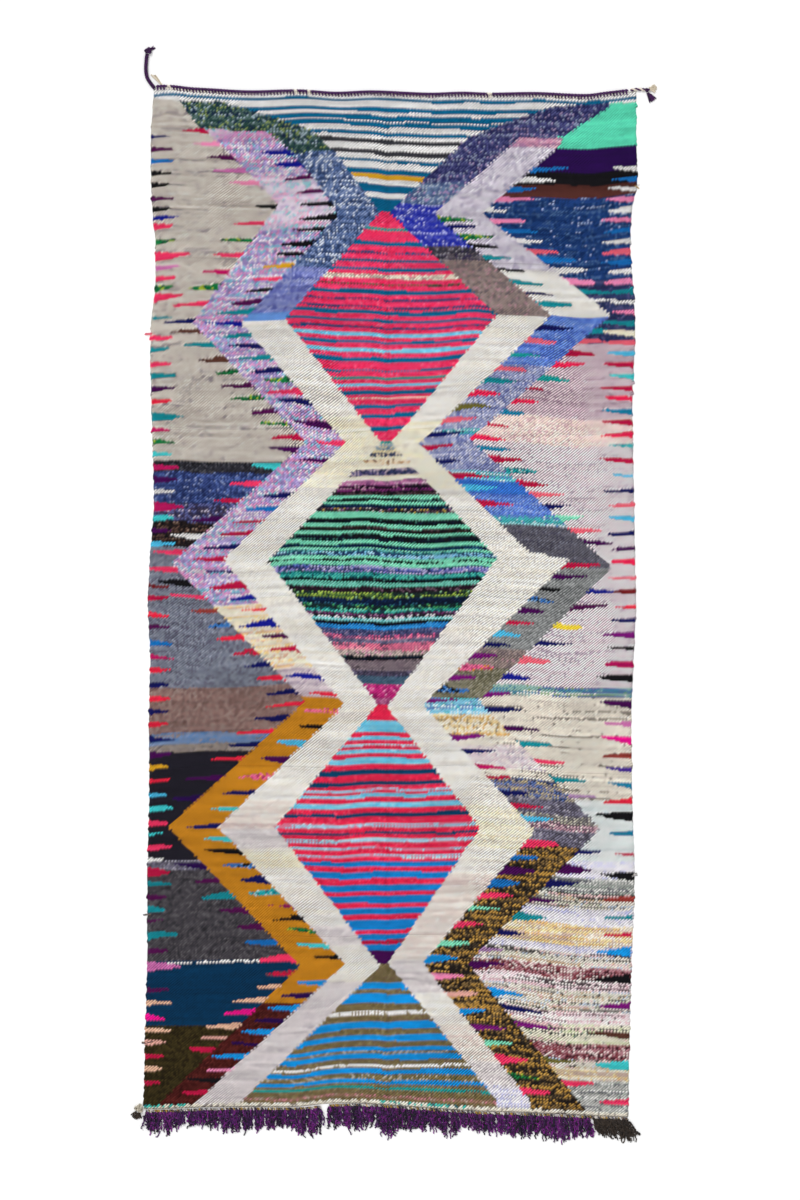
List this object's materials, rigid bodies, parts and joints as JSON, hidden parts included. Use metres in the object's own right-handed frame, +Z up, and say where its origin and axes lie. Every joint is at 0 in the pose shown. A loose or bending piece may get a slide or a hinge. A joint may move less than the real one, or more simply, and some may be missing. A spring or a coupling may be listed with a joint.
{
  "type": "boucherouite rug",
  "caption": "Flat-woven rag rug with a lozenge and zigzag pattern, lying flat, with a twined heading, knotted corner ties and a yarn fringe along one end.",
  "frame": {"origin": "on the floor under the middle of the rug's box, measured without the plait and its knot", "axes": "+Z up from the floor, +Y along the rug towards the twined heading, +X to the weaver's right"},
  "size_m": [1.5778, 3.3019, 0.0137],
  "materials": {
    "rag_weft": "woven rag and wool weft in many colours, matt",
    "heading_yarn": "two-ply purple and cream yarn, matt",
    "purple_yarn": "plied dark purple yarn, matt",
    "black_yarn": "plied black yarn, matt",
    "cream_yarn": "undyed cream warp yarn, matt",
    "grey_yarn": "grey and cream yarn, matt"
  },
  "bodies": {
    "root": {"rug_cloth": "rag_weft", "heading_cord": "heading_yarn", "purple_fringe": "purple_yarn", "black_fringe": "black_yarn", "corner_plait": "purple_yarn", "corner_knot": "purple_yarn", "warp_ends": "cream_yarn", "corner_twist": "heading_yarn", "tie_knot": "purple_yarn", "purple_tuft": "purple_yarn", "cream_tuft": "cream_yarn", "tie_off_knot": "grey_yarn", "black_tuft": "black_yarn"}
  },
  "joints": []
}
